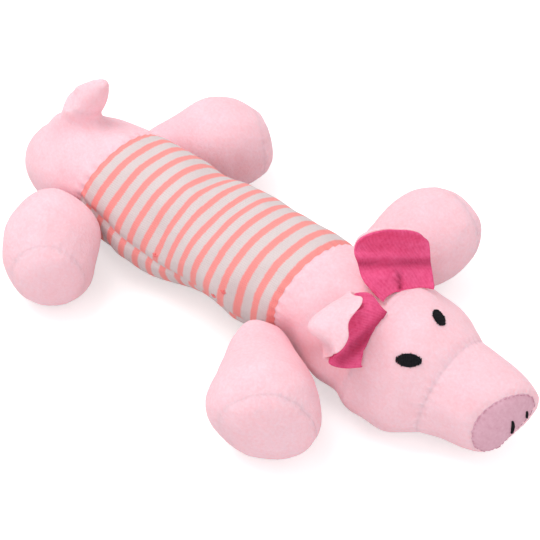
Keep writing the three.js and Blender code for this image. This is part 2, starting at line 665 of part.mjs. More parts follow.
// The head as an ear meets it while it flaps, so that the ear's root clears it all the way
function headSweptByFlap(side, earTurn) {
  const head = moved(turned(inset(headOutline, -SWING_GAP), BODY_SIDES), headShape).add(domeSeat);
  const { pivot, axis } = earHinge(side, earTurn);
  return [-EAR_FLAP_FORWARD, -EAR_FLAP_FORWARD / 2, 0, EAR_FLAP_BACK / 2, EAR_FLAP_BACK].map((angle) => {
    const flap = new THREE.Matrix4()
      .makeTranslation(pivot.x, pivot.y, pivot.z)
      .multiply(new THREE.Matrix4().makeRotationAxis(axis, degToRad(angle)))
      .multiply(new THREE.Matrix4().makeTranslation(-pivot.x, -pivot.y, -pivot.z));
    return moved(head, flap);
  });
}

function addEars() {
  for (const [name, side] of [['left', 1], ['right', -1]]) {
    const surface = earSurface(side, EAR_BENDS[name], EAR_TURN[name]);
    const clearance = headSweptByFlap(side, EAR_TURN[name]);
    const back = sheet(surface, -SEAM_GAP / 2 - PLUSH_WALL, -SEAM_GAP / 2);
    const lining = sheet(surface, SEAM_GAP / 2, SEAM_GAP / 2 + FLEECE_WALL);
    piece(headFrame, `${name}_ear_back`, withoutAll(back, clearance), pinkPlush);
    piece(headFrame, `${name}_ear_lining`, withoutAll(lining, clearance), magentaFleece);
  }
}

// Legs, each in its own frame about the centre of its round root

function addLeg({ name, length, root, turn }) {
  const frame = new THREE.Group();
  frame.position.copy(root);
  frame.rotation.z = turn;
  toy.add(frame);

  const outline = [
    ...arc(0, LEG_ROOT_RADIUS, 180, 90, ROOT_RINGS).slice(0, -1),
    ...swept(
      [
        [0, LEG_ROOT_RADIUS],
        ...tapered(LEG_PROFILE, 0, length, LEG_ROOT_RADIUS, FOOT_RADIUS),
        [length, SOLE_SEAM_RADIUS],
      ],
      LEG_RINGS,
    ),
  ];
  const soleOutline = crowned(length + SEAM_GAP, SOLE_SEAM_RADIUS, SOLE_BULGE);
  const stuffing = [...inset(outline, PLUSH_DEPTH).slice(0, -1), ...inset(soleOutline, PLUSH_DEPTH).slice(1)];
  const cover = shell(outline, PLUSH_WALL, LIMB_SIDES, false, true).subtract(belowFloor(LEG_HEIGHT));
  piece(frame, `${name}_leg_cover`, cover, pinkPlush);
  piece(frame, `${name}_sole`, shell(soleOutline, PLUSH_WALL, LIMB_SIDES, true, false), pinkPlush);
  piece(frame, `${name}_leg_filling`, turned(stuffing, LIMB_SIDES), fibreFill);
}

function addTail() {
  const frame = new THREE.Group();
  frame.position.copy(tailRoot);
  frame.quaternion.setFromUnitVectors(new THREE.Vector3(1, 0, 0), tailDirection);
  toy.add(frame);

  const outline = [
    ...arc(0, TAIL_ROOT_RADIUS, 180 - TAIL_MOUTH, 90, ROOT_RINGS).slice(0, -1),
    ...swept(
      [
        [0, TAIL_ROOT_RADIUS],
        ...tapered(TAIL_PROFILE, 0, TAIL_LENGTH, TAIL_ROOT_RADIUS, TAIL_TIP_RADIUS),
        [TAIL_LENGTH, TAIL_TIP_RADIUS],
      ],
      TAIL_RINGS,
    ),
    ...arc(TAIL_LENGTH, TAIL_TIP_RADIUS, 90, 0, ROOT_RINGS).slice(1),
  ];
  piece(frame, 'tail_cover', shell(outline, PLUSH_WALL, SMALL_SIDES, true, false), pinkPlush);
  piece(frame, 'tail_filling', turned(inset(outline, PLUSH_DEPTH), SMALL_SIDES), fibreFill);
}

addBody();
addBodyFilling();
addSqueaker();
addHead();
addFace();
addEars();
legs.forEach(addLeg);
addTail();

export default toy;
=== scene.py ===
import bpy
import json
import math
import numpy as np
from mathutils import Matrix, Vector
from mathutils.bvhtree import BVHTree

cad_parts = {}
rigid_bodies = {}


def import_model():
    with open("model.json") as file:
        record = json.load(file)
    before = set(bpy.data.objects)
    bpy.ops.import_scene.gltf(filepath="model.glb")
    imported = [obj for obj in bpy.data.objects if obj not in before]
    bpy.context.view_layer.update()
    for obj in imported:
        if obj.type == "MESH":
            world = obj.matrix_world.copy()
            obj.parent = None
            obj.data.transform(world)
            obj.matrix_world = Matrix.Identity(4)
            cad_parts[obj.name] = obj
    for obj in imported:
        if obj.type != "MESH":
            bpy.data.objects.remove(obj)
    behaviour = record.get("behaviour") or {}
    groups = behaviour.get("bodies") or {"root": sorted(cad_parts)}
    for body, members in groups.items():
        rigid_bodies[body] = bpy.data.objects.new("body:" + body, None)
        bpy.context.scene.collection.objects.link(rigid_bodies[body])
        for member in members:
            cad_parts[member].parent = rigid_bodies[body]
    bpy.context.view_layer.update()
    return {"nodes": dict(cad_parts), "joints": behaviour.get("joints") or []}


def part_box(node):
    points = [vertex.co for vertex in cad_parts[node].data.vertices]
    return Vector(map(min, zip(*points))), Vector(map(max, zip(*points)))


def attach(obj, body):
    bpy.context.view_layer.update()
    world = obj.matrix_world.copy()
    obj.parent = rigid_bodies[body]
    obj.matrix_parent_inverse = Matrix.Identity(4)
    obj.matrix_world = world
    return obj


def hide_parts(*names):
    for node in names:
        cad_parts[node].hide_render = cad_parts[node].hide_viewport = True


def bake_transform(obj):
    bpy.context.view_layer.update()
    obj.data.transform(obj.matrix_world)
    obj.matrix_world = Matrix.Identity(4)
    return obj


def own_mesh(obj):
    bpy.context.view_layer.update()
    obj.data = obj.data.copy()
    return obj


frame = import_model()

mm = 0.001
cadNodes = frame["nodes"]
joints = {joint["name"]: joint for joint in frame["joints"]}
scene = bpy.context.scene
bpy.context.tool_settings.mesh_select_mode = (True, False, False)


# small hands for selecting, copying and finishing

def pickOnly(*items):
    bpy.ops.object.select_all(action="DESELECT")
    for item in items:
        item.select_set(True)
    bpy.context.view_layer.objects.active = items[0]


def editAll(item):
    pickOnly(item)
    bpy.ops.object.mode_set(mode="EDIT")
    bpy.ops.mesh.select_all(action="SELECT")


def leaveEdit():
    bpy.ops.object.mode_set(mode="OBJECT")


def finishWith(item, kind, **settings):  # adds a modifier and applies it
    pickOnly(item)
    modifier = item.modifiers.new(kind.title(), kind)
    for key, value in settings.items():
        setattr(modifier, key, value)
    bpy.ops.object.modifier_apply(modifier=modifier.name)


def copyOf(name, nodeNames):  # one new mesh from copies of CAD solids
    copies = []
    for nodeName in nodeNames:
        twin = bpy.data.objects.new(name, cadNodes[nodeName].data.copy())
        scene.collection.objects.link(twin)
        copies.append(twin)
    pickOnly(*copies)
    bpy.ops.object.join()
    joined = bpy.context.view_layer.objects.active
    joined.name = joined.data.name = name
    joined.data.materials.clear()
    editAll(joined)
    bpy.ops.mesh.remove_doubles(threshold=0.01 * mm)
    leaveEdit()
    return joined


def keepOuterSkin(item):  # drops the hollows inside a remeshed form
    editAll(item)
    bpy.ops.mesh.select_all(action="DESELECT")
    leaveEdit()
    max(item.data.vertices, key=lambda vertex: vertex.co.z).select = True
    bpy.ops.object.mode_set(mode="EDIT")
    bpy.ops.mesh.select_linked()
    bpy.ops.mesh.select_all(action="INVERT")
    bpy.ops.mesh.delete(type="VERT")
    leaveEdit()


def pointsOf(item):
    flat = np.empty(len(item.data.vertices) * 3, np.float32)
    item.data.vertices.foreach_get("co", flat)
    return flat.reshape(-1, 3).astype(float)


def normalsOf(item):
    flat = np.empty(len(item.data.vertices) * 3, np.float32)
    item.data.vertex_normals.foreach_get("vector", flat)
    return flat.reshape(-1, 3).astype(float)


def movePoints(item, points):
    item.data.vertices.foreach_set("co", points.astype(np.float32).ravel())
    item.data.update()


def setAttribute(item, name, values):
    attribute = item.data.attributes.new(name, "FLOAT", "POINT")
    attribute.data.foreach_set("value", values.astype(np.float32))


# soft forms: a skin over the CAD solids is shrunk a little, then stuffed by cloth pressure

stuffing = {
    "threadMass": 0.0003,
    "pressure": 4.0,
    "slack": 0.025,
    "steps": 20,
    "start": 0.8 * mm,  # the skin is drawn in by this much first
    "cap": 2.4 * mm,  # and no point moves further than this
    "hold": 3 * mm,  # reach of a seam's grip on the cloth
}


def swell(form, seams):  # the sewn edges stay put and the cloth between them fills out
    before = pointsOf(form)
    sewn = form.vertex_groups.new(name="sewn")
    for index, point in enumerate(before):
        hold = sum(math.exp(-(((Vector(point) - Vector(place)).dot(Vector(axis)) / stuffing["hold"]) ** 2))
                   for place, axis in seams)
        sewn.add([index], min(1, hold), "REPLACE")
    cloth = form.modifiers.new("Stuffing", "CLOTH")
    cloth.settings.mass = stuffing["threadMass"]
    cloth.settings.use_pressure = True
    cloth.settings.uniform_pressure_force = stuffing["pressure"]
    cloth.settings.shrink_min = -stuffing["slack"]
    cloth.settings.vertex_group_mass = sewn.name
    cloth.settings.effector_weights.gravity = 0
    cloth.point_cache.frame_start = 1
    cloth.point_cache.frame_end = stuffing["steps"]
    for step in range(1, stuffing["steps"] + 1):
        scene.frame_set(step)
    pickOnly(form)
    bpy.ops.object.modifier_apply(modifier=cloth.name)
    scene.frame_set(1)
    moved = pointsOf(form) - before
    reach = np.linalg.norm(moved, axis=1, keepdims=True)
    movePoints(form, before + moved * np.minimum(1, stuffing["cap"] / np.maximum(reach, 1e-9)))
    form.vertex_groups.clear()


def stuffedForm(name, nodeNames, voxel, rounds, seams):
    form = copyOf(name, nodeNames)
    finishWith(form, "REMESH", mode="VOXEL", voxel_size=voxel)
    keepOuterSkin(form)
    finishWith(form, "SMOOTH", factor=0.5, iterations=rounds)
    movePoints(form, pointsOf(form) - normalsOf(form) * stuffing["start"])
    swell(form, seams)
    finishWith(form, "SMOOTH", factor=0.5, iterations=3)
    finer(form, 2)
    return form


def finer(form, levels):
    finishWith(form, "SUBSURF", levels=levels, render_levels=levels)


def pressSeam(form, place, axis, depth, width, puckers):  # a puckered groove where two covers meet
    axis = Vector(axis)
    side = axis.cross(Vector((0, 0, 1))).normalized()
    points = pointsOf(form)
    offset = points - np.array(place)
    away = offset @ np.array(axis)
    turn = np.arctan2(offset @ np.array(side.cross(axis)), offset @ np.array(side))
    pucker = np.sin(puckers * turn + 2 * np.sin(3 * turn))
    dip = depth * np.exp(-((away / width) ** 2)) * (1 + 0.3 * pucker)
    dip += 0.14 * depth * pucker * np.exp(-((away / (3.5 * width)) ** 2))
    movePoints(form, points - normalsOf(form) * dip[:, None])


def nudge(form, pulls):  # soft pulls: place, move and reach in millimetres
    for place, move, reach in pulls:
        points = pointsOf(form)
        away = np.linalg.norm(points - np.array(place) * mm, axis=1) / (reach * mm)
        pull = np.where(away < 1, (1 - away ** 2) ** 2, 0)
        movePoints(form, points + pull[:, None] * np.array(move) * mm)


def crease(form, start, end, move, width):  # a valley pushed through both faces of a sheet; the push share it returns is painted as shade
    points = pointsOf(form)
    move = np.array(move)
    flat = np.eye(3) - np.outer(move, move) / (move @ move)  # looks along the push
    aside = (points - np.array(start) * mm) @ flat
    run = (np.array(end) - np.array(start)) @ flat * mm
    share = np.clip(aside @ run / (run @ run), 0, 1)
    away = np.linalg.norm(aside - share[:, None] * run, axis=1)
    push = np.exp(-((away / (width * mm)) ** 2))
    movePoints(form, points + push[:, None] * move * mm)
    return push


def lumpy(form, size, height):  # uneven fibre under the cloth
    clouds = bpy.data.textures.new("lumps", "CLOUDS")
    clouds.noise_scale = size
    finishWith(form, "DISPLACE", texture=clouds, texture_coords="LOCAL", strength=height, mid_level=0.5)


def settle(form, soft):  # the underside flattens on the floor
    points = pointsOf(form)
    low = points[:, 2] < soft
    points[low, 2] = soft * np.exp(points[low, 2] / soft - 1)
    movePoints(form, points)


def slit(item, place, axis, half=None):  # a cut across the mesh, or across the half that a test picks
    editAll(item)
    if half:
        bpy.ops.mesh.select_all(action="DESELECT")
        leaveEdit()
        for vertex in item.data.vertices:
            vertex.select = half(vertex.co)
        bpy.ops.object.mode_set(mode="EDIT")
    bpy.ops.mesh.bisect(plane_co=place, plane_no=axis)
    leaveEdit()


def takeFaces(item, name, wanted):  # the faces that a test picks become a piece of their own
    editAll(item)
    bpy.ops.mesh.select_all(action="DESELECT")
    bpy.ops.mesh.select_mode(type="FACE")
    leaveEdit()
    for face in item.data.polygons:
        face.select = wanted(face.center)
    before = set(bpy.data.objects)
    bpy.ops.object.mode_set(mode="EDIT")
    bpy.ops.mesh.separate(type="SELECTED")
    bpy.ops.mesh.select_mode(type="VERT")
    leaveEdit()
    part = (set(bpy.data.objects) - before).pop()
    part.name = part.data.name = name
    return part


def cutOff(item, place, axis, name):  # what lies in front of a plane
    place, axis = Vector(place), Vector(axis)
    slit(item, place, axis)
    return takeFaces(item, name, lambda centre: (centre - place).dot(axis) > 0)


def sewCover(cover, wall, material):
    finishWith(cover, "SOLIDIFY", thickness=wall, offset=-1)
    pickOnly(cover)
    bpy.ops.object.shade_smooth_by_angle(angle=math.radians(50))  # the cut edge stays crisp
    cover.data.materials.clear()
    cover.data.materials.append(material)


# shader helpers

def rgb(red, green, blue):  # sRGB 0 to 255, as read off a picture
    def linear(part):
        part /= 255
        return part / 12.92 if part <= 0.04045 else ((part + 0.055) / 1.055) ** 2.4
    return (linear(red), linear(green), linear(blue), 1)


def addNode(tree, kind, inputs=None, **settings):
    node = tree.nodes.new(kind)
    for key, value in settings.items():
        setattr(node, key, value)
    for key, value in (inputs or {}).items():
        if isinstance(value, bpy.types.NodeSocket):
            tree.links.new(value, node.inputs[key])
        else:
            node.inputs[key].default_value = value
    return node


def mathNode(tree, operation, *values):
    return addNode(tree, "ShaderNodeMath", dict(enumerate(values)), operation=operation).outputs["Value"]


def blankMaterial(name):
    material = bpy.data.materials.new(name)
    material.use_nodes = True
    return material, material.node_tree, material.node_tree.nodes["Principled BSDF"]


def makePileGroup():  # mottling and lift of a short brushed pile
    group = bpy.data.node_groups.new("pileNap", "ShaderNodeTree")
    group.interface.new_socket(name="Vector", in_out="INPUT", socket_type="NodeSocketVector")
    group.interface.new_socket(name="Pile", in_out="INPUT", socket_type="NodeSocketFloat")
    group.interface.new_socket(name="Tone", in_out="OUTPUT", socket_type="NodeSocketFloat")
    group.interface.new_socket(name="Height", in_out="OUTPUT", socket_type="NodeSocketFloat")
    given = addNode(group, "NodeGroupInput")
    result = addNode(group, "NodeGroupOutput")
    fine = addNode(group, "ShaderNodeTexNoise", {
        "Vector": given.outputs["Vector"], "Scale": given.outputs["Pile"], "Detail": 3.0, "Roughness": 0.6})
    brushed = addNode(group, "ShaderNodeTexNoise", {
        "Vector": given.outputs["Vector"], "Scale": 85.0, "Detail": 4.0})
    tone = addNode(group, "ShaderNodeMix", {
        "Factor": 0.6, "A": brushed.outputs["Fac"], "B": fine.outputs["Fac"]})
    lift = addNode(group, "ShaderNodeMix", {
        "Factor": 0.75, "A": brushed.outputs["Fac"], "B": fine.outputs["Fac"]})
    group.links.new(tone.outputs["Result"], result.inputs["Tone"])
    group.links.new(lift.outputs["Result"], result.inputs["Height"])
    return group


pileGroup = makePileGroup()


def usePile(tree, pile):
    place = addNode(tree, "ShaderNodeTexCoord")
    nap = addNode(tree, "ShaderNodeGroup", node_tree=pileGroup)
    tree.links.new(place.outputs["Object"], nap.inputs["Vector"])
    nap.inputs["Pile"].default_value = pile
    return place, nap


def brushedCloth(name, look, rib=None):  # ribs follow the rib attribute, and painted shade in the creases follows the crease attribute
    material, tree, shader = blankMaterial(name)
    place, nap = usePile(tree, look["pile"])
    shadeOf, lift = nap.outputs["Tone"], nap.outputs["Height"]
    if rib:
        across = addNode(tree, "ShaderNodeAttribute", attribute_name="rib").outputs["Fac"]
        turns = mathNode(tree, "DIVIDE", across, rib / 6.283)
        ridge = mathNode(tree, "SINE", mathNode(tree, "MULTIPLY_ADD", nap.outputs["Tone"], 2.2, turns))
        # painted light and shade: the colour is lighter on the rib crests and darker in the troughs, along
        # with the bump
        shadeOf = mathNode(tree, "MULTIPLY_ADD", ridge, 0.035, shadeOf)
        lift = mathNode(tree, "MULTIPLY_ADD", ridge, 0.12, lift)
    tone = addNode(tree, "ShaderNodeMapRange", {"Value": shadeOf, "From Min": 0.3, "From Max": 0.7})
    colour = addNode(tree, "ShaderNodeMix", {
        "Factor": tone.outputs["Result"], "A": look["deep"], "B": look["pale"]}, data_type="RGBA")
    bump = addNode(tree, "ShaderNodeBump", {
        "Height": lift, "Strength": look["lift"], "Distance": 0.6 * mm})
    if rib:
        # painted shade: the crease attribute mixes the colour towards a darker magenta along the ear creases
        # and the lining's shaded lower part
        fold = addNode(tree, "ShaderNodeAttribute", attribute_name="crease").outputs["Fac"]
        colour = addNode(tree, "ShaderNodeMix", {
            "Factor": fold, "A": colour.outputs["Result"], "B": look["fold"]}, data_type="RGBA")
    tree.links.new(colour.outputs["Result"], shader.inputs["Base Color"])
    tree.links.new(bump.outputs["Normal"], shader.inputs["Normal"])
    shader.inputs["Subsurface Weight"].default_value = look.get("soft", 0)
    shader.inputs["Subsurface Scale"].default_value = 5 * mm
    shader.inputs["Subsurface Radius"].default_value = (1.0, 0.35, 0.3)
    shader.inputs["Roughness"].default_value = 0.92
    shader.inputs["Specular IOR Level"].default_value = 0.15
    shader.inputs["Sheen Weight"].default_value = look["sheen"]
    shader.inputs["Sheen Roughness"].default_value = 0.5
    shader.inputs["Sheen Tint"].default_value = look["pale"]
    return material


def clothLook(pile, deep, pale, lift, sheen, **more):
    return {"pile": pile, "deep": rgb(*deep), "pale": rgb(*pale), "lift": lift, "sheen": sheen, **more}


plushLook = clothLook(900.0, (250, 188, 197), (254, 208, 218), 0.5, 0.3, soft=0.35)
# the fleece's last colour is a painted shade, mixed in along the ear creases
fleeceLook = clothLook(700.0, (218, 70, 118), (240, 102, 150), 0.6, 0.25, fold=rgb(150, 34, 70))
padLook = clothLook(800.0, (208, 156, 173), (224, 180, 195), 0.45, 0.2)
mauveThreadLook = clothLook(1500.0, (190, 134, 152), (214, 160, 178), 0.4, 0.0)
coralThreadLook = clothLook(1500.0, (228, 110, 112), (242, 136, 134), 0.4, 0.0)
blackThreadLook = clothLook(1500.0, (14, 14, 16), (38, 37, 42), 0.4, 0.0)
fibreLook = clothLook(500.0, (228, 226, 222), (248, 247, 244), 0.8, 0.2)
ribWidth = 1.15 * mm

pinkPlush = brushedCloth("pinkPlush", plushLook)
magentaFleece = brushedCloth("magentaFleece", fleeceLook, rib=ribWidth)
mauveFleece = brushedCloth("mauveFleece", padLook)
mauveThread = brushedCloth("mauveThread", mauveThreadLook)
coralThread = brushedCloth("coralThread", coralThreadLook)
blackThread = brushedCloth("blackThread", blackThreadLook)
fibreFill = brushedCloth("fibreFill", fibreLook)


def mouldedPlastic(name, look):  # faint mottling and mould marks under a soft gloss
    material, tree, shader = blankMaterial(name)
    place, nap = usePile(tree, look["pile"])
    colour = addNode(tree, "ShaderNodeMix", {
        "Factor": nap.outputs["Tone"], "A": look["deep"], "B": look["pale"]}, data_type="RGBA")
    gloss = addNode(tree, "ShaderNodeMapRange", {
        "Value": nap.outputs["Tone"], "To Min": look["gloss"], "To Max": look["gloss"] + 0.2})
    bump = addNode(tree, "ShaderNodeBump", {
        "Height": nap.outputs["Height"], "Strength": look["lift"], "Distance": 0.2 * mm})
    tree.links.new(colour.outputs["Result"], shader.inputs["Base Color"])
    tree.links.new(gloss.outputs["Result"], shader.inputs["Roughness"])
    tree.links.new(bump.outputs["Normal"], shader.inputs["Normal"])
    return material


def plasticLook(pile, deep, pale, lift, gloss):
    return {"pile": pile, "deep": rgb(*deep), "pale": rgb(*pale), "lift": lift, "gloss": gloss}


bulbLook = plasticLook(300.0, (224, 228, 229), (238, 241, 241), 0.06, 0.3)
whistleLook = plasticLook(420.0, (206, 214, 218), (222, 228, 230), 0.1, 0.4)
reedLook = plasticLook(600.0, (196, 202, 206), (216, 221, 224), 0.04, 0.2)

squeakerPlastic = mouldedPlastic("squeakerPlastic", bulbLook)
whistlePlastic = mouldedPlastic("whistlePlastic", whistleLook)
reedFilm = mouldedPlastic("reedFilm", reedLook)

stripeLook = {
    "count": 15,  # coral stripes from seam to seam
    "share": 0.43,  # of the pitch that is coral
    "edge": 1.2 * mm,  # the first and last stripes' middles stand this far inside the seams
    "bunched": 0.2,  # how much closer the stripes lie in the middle
    "bunchReach": 18 * mm,
    "jog": 0.4,  # of a stripe, across the side seams
    "wobble": 0.06,
    "stitch": 0.95 * mm,  # width of a knitted loop
    "coral": rgb(248, 152, 148),
    "pale": rgb(219, 205, 205),
}


def makeStripes():
    material, tree, shader = blankMaterial("stripedKnit")
    place, nap = usePile(tree, 1100.0)
    run = addNode(tree, "ShaderNodeAttribute", attribute_name="run").outputs["Fac"]
    girth = addNode(tree, "ShaderNodeAttribute", attribute_name="girth").outputs["Fac"]
    along = addNode(tree, "ShaderNodeSeparateXYZ", {"Vector": place.outputs["Object"]}).outputs["X"]
    fuzz = addNode(tree, "ShaderNodeTexNoise", {
        "Vector": place.outputs["Object"], "Scale": 1300.0, "Detail": 2.0})
    # loops: columns round the body, each row a chain of small vees
    column = mathNode(tree, "FRACT", mathNode(tree, "DIVIDE", girth, stripeLook["stitch"]))
    vee = mathNode(tree, "ABSOLUTE", mathNode(tree, "SUBTRACT", column, 0.5))
    row = mathNode(tree, "ADD", mathNode(tree, "DIVIDE", along, 0.8 * stripeLook["stitch"]), vee)
    loop = mathNode(tree, "ABSOLUTE", mathNode(tree, "SINE", mathNode(tree, "MULTIPLY", row, math.pi)))
    groove = mathNode(tree, "SMOOTH_MIN", mathNode(tree, "MULTIPLY", vee, 6.0), 1.0, 0.3)
    knit = mathNode(tree, "MULTIPLY", loop, groove)
    # coral bands, with the fuzz of the yarn along their edges
    frayed = mathNode(tree, "ADD", fuzz.outputs["Fac"], mathNode(tree, "MULTIPLY", vee, 0.5))
    soft = mathNode(tree, "MULTIPLY_ADD", frayed, stripeLook["wobble"] * 2, run)
    away = mathNode(tree, "ABSOLUTE", mathNode(tree, "SUBTRACT", mathNode(tree, "FRACT", soft), 0.5))
    band = addNode(tree, "ShaderNodeMapRange", {
        "Value": away, "From Min": 0.5 * stripeLook["share"] - 0.05,
        "From Max": 0.5 * stripeLook["share"] + 0.05}, interpolation_type="SMOOTHSTEP")
    colour = addNode(tree, "ShaderNodeMix", {
        "Factor": band.outputs["Result"], "A": stripeLook["coral"], "B": stripeLook["pale"]},
        data_type="RGBA")
    # random mottling, plus painted shade: the colour is darker where the knitted loops dip and lighter where
    # they rise
    level = mathNode(tree, "MULTIPLY_ADD", knit, 0.1, mathNode(tree, "MULTIPLY", nap.outputs["Tone"], 0.3))
    mottleAndLoopShade = addNode(tree, "ShaderNodeMix", {
        "Factor": level, "A": (0.84, 0.83, 0.83, 1), "B": (1.45, 1.47, 1.48, 1)}, data_type="RGBA")
    shade = addNode(tree, "ShaderNodeMix", {
        "Factor": 1.0, "A": colour.outputs["Result"], "B": mottleAndLoopShade.outputs["Result"]},
        data_type="RGBA", blend_type="MULTIPLY")
    height = mathNode(tree, "MULTIPLY_ADD", knit, 0.6, nap.outputs["Height"])
    bump = addNode(tree, "ShaderNodeBump", {"Height": height, "Strength": 0.45, "Distance": 0.35 * mm})
    tree.links.new(shade.outputs["Result"], shader.inputs["Base Color"])
    tree.links.new(bump.outputs["Normal"], shader.inputs["Normal"])
    shader.inputs["Roughness"].default_value = 0.95
    shader.inputs["Specular IOR Level"].default_value = 0.1
    shader.inputs["Sheen Weight"].default_value = 0.15
    return material


stripedKnit = makeStripes()
print("materials ready")


# body, neck and head from one stuffed form

bodyPlan = {
    "voxel": 3.2 * mm,
    "rounds": 8,
    "seamDepth": 0.8 * mm,
    "seamWidth": 1.6 * mm,
    "puckers": 31,  # gathers round a seam
    "padPuckers": 22,
    "lumpSize": 14 * mm,
    "lumpHeight": 0.7 * mm,
    "sag": 2.5 * mm,  # the underside flattens within this of the floor
    "bodyRadius": 25 * mm,
    "rearSeam": {"shift": -0.2 * mm, "aside": 0.065, "lean": 0.27},  # along the body, per side step, per rise
    "frontSeam": {"shift": -6.1 * mm, "aside": 0.1, "lean": 0.1},
    "sideSeamDrop": {"left": math.radians(34), "right": math.radians(12)},  # below the middle, half way along
    "sideSeamTilt": {"left": 0, "right": math.radians(9)},  # the right seam sinks towards the head
    "headPitch": math.radians(4),
    "nape": 13 * mm,  # this and the next two are measured along the head from the neck's dome
    "cheek": 40.7 * mm,
    "pad": 62 * mm,
    "snoutTurn": 0.28,  # how far the snout's end turns towards the pig's right
    "snoutLift": 0.22,  # how far its underside pushes forward
    "padTilt": math.radians(3),
    "padTurn": math.radians(-9),
    "pulls": [  # place, move, reach
        ((98, -20, 8), (2.0, -5.0, -1.0), 26),  # right jowl
        ((98, 20, 8), (2.0, 3.0, -1.0), 26),  # left jowl
        ((70, -22, 10), (1.0, -4.0, -1.0), 16),  # right side of the neck
        ((85, -27, 17), (-0.2, -1.4, -1.1), 14),
        ((99, 14, 41), (-0.4, -2.0, -1.6), 15),  # flat of the left cheek
        ((136, 6, 9), (-2.5, -0.6, 1.4), 18),  # rounding of the snout's lower corner
        ((-75, -1, 47), (0.5, -0.5, 4.0), 17),  # mound under the tail
        ((-80, -5, 46), (-1.0, -1.0, 4.0), 12),
        ((-77, -6, 49), (-1.6, -1.4, 1.0), 8),
        ((-79, -5.5, 54.5), (3.0, 2.6, -0.3), 8.5),  # the tail's rear edge, drawn straight
        ((-74, -4.5, 58.5), (1.9, 1.6, 0.2), 7),
        ((-86, -10, 42), (-1.5, -1.0, 1.5), 18),  # shoulder of the rump beside it
        ((-84, -19, 19), (-1.2, -1.0, 0), 24),  # right side of the rump
        ((6, -20, 8), (0, 3.2, 2.2), 24),  # dent in the right flank
        ((-32, -20, 8), (0, -2.2, -1.0), 22),  # bulge behind it
        ((81, -25, 12), (0, -1.8, -1.0), 11),  # behind the right jowl
    ],
}

seamEnds = {"rearSeam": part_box("back_panel")[0].x, "frontSeam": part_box("back_panel")[1].x}
neckCentre = Vector(joints["head_nod"]["pos_m"])
bodyMiddle = Vector((0, 0, neckCentre.z))
headAxis = Vector((math.cos(bodyPlan["headPitch"]), 0, -math.sin(bodyPlan["headPitch"])))
padAxis = (headAxis + Vector((0, math.tan(bodyPlan["padTurn"]), math.tan(bodyPlan["padTilt"])))).normalized()


def seamAt(end, points):  # how far along the body a tube seam lies at these points
    plan = bodyPlan[end]
    rise = points[:, 2] - bodyMiddle.z
    return seamEnds[end] + plan["shift"] + plan["aside"] * points[:, 1] + plan["lean"] * rise


def seamPlane(end):
    plan = bodyPlan[end]
    place = bodyMiddle + Vector((seamEnds[end] + plan["shift"], 0, 0))
    return place, Vector((1, -plan["aside"], -plan["lean"])).normalized()


def alongHead(reach):
    return neckCentre + headAxis * reach


def turnSnout(form):  # the far side of the snout reaches further forward than the near side
    points = pointsOf(form)
    ahead = (points - np.array(neckCentre)) @ np.array(headAxis)
    share = np.clip((ahead - bodyPlan["cheek"]) / (bodyPlan["pad"] - bodyPlan["cheek"]), 0, 1)
    under = np.maximum(0, alongHead(bodyPlan["pad"]).z + 4 * mm - points[:, 2])
    push = bodyPlan["snoutTurn"] * (points[:, 1] + 5 * mm) + bodyPlan["snoutLift"] * under
    points[:, 0] += share * share * push
    movePoints(form, points)


def pressSideSeam(form, side):
    points = pointsOf(form)
    place, up = sideSeam(side)
    away = (points - np.array(place)) @ np.array(up)
    onTube = (points[:, 0] > seamAt("rearSeam", points)) & (points[:, 0] < seamAt("frontSeam", points))
    onTube &= (points[:, 1] > 0) == (side == "left")
    dip = bodyPlan["seamDepth"] * np.exp(-((away / bodyPlan["seamWidth"]) ** 2)) * onTube
    movePoints(form, points - normalsOf(form) * dip[:, None])


def growTail(form):  # the tail is drawn out of the rump
    tail = copyOf("tailForm", ["tail_cover", "tail_filling"])
    finishWith(tail, "REMESH", mode="VOXEL", voxel_size=tailPlan["voxel"])
    keepOuterSkin(tail)
    finishWith(tail, "SMOOTH", factor=0.5, iterations=tailPlan["rounds"])
    pickOnly(form, tail)
    bpy.ops.object.join()
    finishWith(form, "REMESH", mode="VOXEL", voxel_size=tailPlan["joinVoxel"])
    keepOuterSkin(form)
    finishWith(form, "SMOOTH", factor=0.5, iterations=4)


def softenRoot(form):  # a fillet round the tail's root
    fillet = form.vertex_groups.new(name="fillet")
    for vertex in form.data.vertices:
        share = 1.6 - (vertex.co - tailRoot).length / tailPlan["filletReach"] * 1.6
        if share > 0:
            fillet.add([vertex.index], min(1, share), "REPLACE")
    finishWith(form, "SMOOTH", factor=0.5, iterations=tailPlan["filletRounds"], vertex_group=fillet.name)
    form.vertex_groups.clear()
    finer(form, 1)


def makePigForm():
    plan = bodyPlan
    seams = [seamPlane("rearSeam"), seamPlane("frontSeam"), (alongHead(plan["cheek"]), headAxis)]
    form = stuffedForm("pigForm", [
        "rump_cover", "back_panel", "belly_panel", "neck_cover", "rear_filling", "front_filling",
        "squeaker_base", "squeaker_crown", "squeaker_bellows",
        "head_cover", "muzzle_cover", "snout_pad", "head_filling"], plan["voxel"], plan["rounds"], seams)
    growTail(form)
    nudge(form, plan["pulls"])
    softenRoot(form)
    for (place, axis), share in zip(seams, (1, 1, 0.6)):
        pressSeam(form, place, axis, share * plan["seamDepth"], plan["seamWidth"], plan["puckers"])
    for side in ("left", "right"):
        pressSideSeam(form, side)
    pressSeam(form, alongHead(plan["pad"]), padAxis, 0.4 * plan["seamDepth"], 0.7 * plan["seamWidth"],
              plan["padPuckers"])
    lumpy(form, plan["lumpSize"], plan["lumpHeight"])
    settle(form, plan["sag"])
    return form


def clothPlace(along):  # the tube is pulled tight at its ends, so its middle is a little bunched
    plan = stripeLook
    return along + plan["bunched"] * plan["bunchReach"] * np.tanh(along / plan["bunchReach"])


